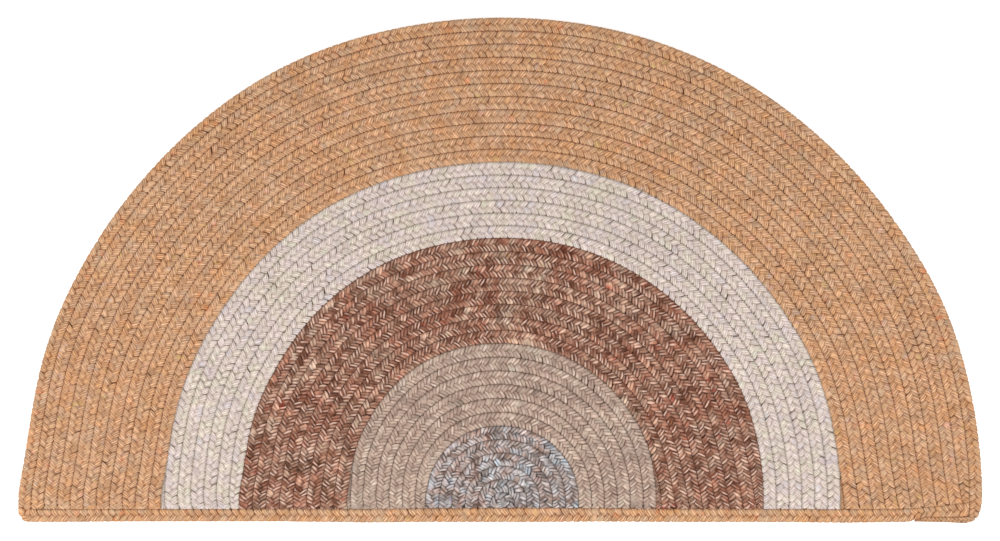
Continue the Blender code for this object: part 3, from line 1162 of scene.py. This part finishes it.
def yarn_material(name, heather, fibres):
    """Dull heathered wool of one colour band, with painted highlights on its yarn ends and painted
    shade in its dark lines and creases.
    """
    material, tree, shader = new_material(f"{name}_wool")
    fleck_strength, highlight_strength, *lines, crease_shade_depth = SHOWN[name]
    dyed = placed_group(tree, heather, HEATHER[name])
    skin = placed_group(tree, fibres, (PLY_PITCH, FUZZ, *lines, HEATHER[name][-1]))
    base = tone_scale(tree, dyed.outputs["Tone"], YARN_TONES[name])
    flecks = tone_scale(tree, dyed.outputs["Fleck Tone"], FLECK_TONES[name])
    colour = mixed(tree, base, flecks, times(tree, dyed.outputs["Fleck"], fleck_strength))
    warm, cool = ((share, *cast) for share, cast in enumerate(CASTS[name]))
    colour = multiplied(tree, colour, tone_scale(tree, dyed.outputs["Cast"], (warm, cool)))
    fibre = mapped(tree, skin.outputs["Fibre Shade"], *FIBRE_SHADES, *YARN_DRIFT)
    colour = multiplied(tree, colour, times(tree, dyed.outputs["Shade"], fibre))
    # A painted highlight along yarn ends, then painted shadow lines
    ridge = times(tree, dyed.outputs["Highlight"], highlight_strength)
    colour = passing(tree, colour, HIGHLIGHT_TONE[name], ridge)
    colour = passing(tree, colour, CREASE_SHADE_TONE[name], skin.outputs["Line"])
    # Painted shade in the creases, deeper the lower a point lies
    depth = mapped(tree, attribute_value(tree, "shade_lift"), crease_shade_depth, 0.0, DEEP_FROM, DEEP_TO)
    depth = math_node(tree, "MINIMUM", times(tree, depth, skin.outputs["Gap"]), 1.0)
    link(tree, passing(tree, colour, CREASE_SHADE_TONE[name], depth), shader.inputs["Base Color"])
    bump = tree.nodes.new("ShaderNodeBump")
    bump.inputs["Strength"].default_value = RELIEF_STRENGTH
    bump.inputs["Distance"].default_value = RELIEF_DEPTH
    link(tree, skin.outputs["Height"], bump.inputs["Height"])
    link(tree, bump.outputs["Normal"], shader.inputs["Normal"])
    shader.inputs["Roughness"].default_value = WOOL_ROUGHNESS
    shader.inputs["Specular IOR Level"].default_value = WOOL_SHINE
    shader.inputs["Sheen Weight"].default_value = WOOL_SHEEN
    shader.inputs["Sheen Roughness"].default_value = WOOL_SHEEN_ROUGHNESS
    return material


def thread_material(name):
    """Dark waxed lacing thread."""
    material, tree, shader = new_material(f"{name}_thread")
    fibre = tree.nodes.new("ShaderNodeTexNoise")
    fibre.noise_dimensions = "1D"
    fibre.inputs["Scale"].default_value = THREAD_FIBRES
    link(tree, attribute_value(tree, "yarn_along"), fibre.inputs["W"])
    dark = tuple(THREAD_SHADE * value for value in LACING_TONE[name])
    dark_until, light_from = THREAD_DRIFT
    tones = ((dark_until, *dark), (light_from, *LACING_TONE[name]))
    link(tree, tone_scale(tree, fibre.outputs["Fac"], tones), shader.inputs["Base Color"])
    shader.inputs["Roughness"].default_value = THREAD_ROUGHNESS
    return material


# Setting

def set_camera():
    """The photo's straight view from above."""
    camera = bpy.data.objects.new("view_from_above", bpy.data.cameras.new("view_from_above"))
    camera.data.lens = LENS
    camera.data.sensor_width = SENSOR
    distance = FRAME_WIDTH_PIXELS * METRES_PER_PIXEL * LENS / SENSOR
    aside = (PHOTO_MIDDLE_X - RUG_MIDDLE_X) * METRES_PER_PIXEL
    camera.location = (aside, 0.0, distance + THICKNESS / 2)
    camera.data.clip_end = CLIP_END
    bpy.context.scene.collection.objects.link(camera)
    bpy.context.scene.camera = camera


def set_light():
    """Even studio light from a wide panel overhead, a low one at each side and pale walls."""
    world = bpy.data.worlds.new("pale_studio")
    world.use_nodes = True
    background = world.node_tree.nodes["Background"]
    background.inputs["Color"].default_value = (1.0, 1.0, 1.0, 1.0)
    background.inputs["Strength"].default_value = SKY_STRENGTH
    bpy.context.scene.world = world
    for name, place, turn, sides, power in PANELS:
        panel = bpy.data.lights.new(name, "AREA")
        panel.shape = "RECTANGLE"
        panel.size, panel.size_y = sides
        panel.energy = power
        lamp = bpy.data.objects.new(name, panel)
        lamp.location = place
        lamp.rotation_euler = (0.0, turn, 0.0)
        bpy.context.scene.collection.objects.link(lamp)
    bpy.context.scene.view_settings.view_transform = "Standard"


def set_floor():
    """A plain white floor, lit a little from below."""
    bpy.ops.mesh.primitive_plane_add(size=FLOOR_SIZE, location=(0.0, 0.0, 0.0))
    floor = bpy.context.object
    floor.name = "studio_floor"
    material, _, shader = new_material("white_floor")
    shader.inputs["Base Color"].default_value = (FLOOR_TONE, FLOOR_TONE, FLOOR_TONE, 1.0)
    shader.inputs["Roughness"].default_value = FLOOR_ROUGHNESS
    shader.inputs["Emission Color"].default_value = (1.0, 1.0, 1.0, 1.0)
    shader.inputs["Emission Strength"].default_value = FLOOR_GLOW
    floor.data.materials.append(material)


def row_plans(lines):
    """The rows and tucked ends inside the edge plait, and the seams of the tucked ends."""
    hairpin = (HAIRPIN_CENTRE, HAIRPIN_INNER_RADIUS, HAIRPIN_INNER_RADIUS, UPRIGHT, UPRIGHT)
    plans = [("core_row_1", "core", ring_stations(hairpin, lines[0][1]))]
    tucked = {}
    numbers = {name: 0 for name in TURN}
    numbers["core"] = 1
    for inner_line, line, outer_line in zip(lines[:-2], lines[1:-1], lines[2:]):
        inner_band, inner_seam = inner_line
        name, outer_seam = line
        outer_band = outer_line[0]
        numbers[name] += 1
        side = LEANS[name][0] if name in LEANS else None
        neighbour = inner_band if side == "right" else outer_band
        if side and neighbour != name:
            lean = TUCKED_ENDS[name] + (TUCKED_POWER,)
            if side == "right":
                between = (inner_seam, leaning(inner_seam, side, lean))
                inner_seam = between[1]
            else:
                between = (leaning(outer_seam, side, lean), outer_seam)
                outer_seam = between[0]
            stations = tucked_stations(*between, side)
            plans.append((f"{name}_end", name, stations))
            tucked[name] = [tucked_line(stations, side)]
        plans.append((f"{name}_row_{numbers[name]}", name, ring_stations(inner_seam, outer_seam)))
    return plans, tucked


def main():
    """The whole scene."""
    set_camera()
    set_light()
    set_floor()
    heather = heather_group()
    fibres = fibre_group()
    wool = {name: yarn_material(name, heather, fibres) for name in YARN_TONES}
    thread = {name: thread_material(name) for name in TURN}
    lines = seams()
    edge = edge_stations(lines[-2][1], lines[-1][1])
    outline = edge[:, 2:4]
    middle = (outline.min(axis=0) + outline.max(axis=0)) / 2
    rng = np.random.default_rng(SEED)
    rows, tucked = row_plans(lines)
    for node, band, stations in [("edge_braid", "wheat", edge)] + rows:
        yarn = wool["edge"] if node == "edge_braid" else wool[band]
        piece = plait(f"{node}_plait", stations, TURN[band], yarn, middle, rng)
        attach(piece, "root")
        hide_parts(node)
    for piece, band in lacing(lines, tucked, middle, thread, rng):
        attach(piece, "root")


main()
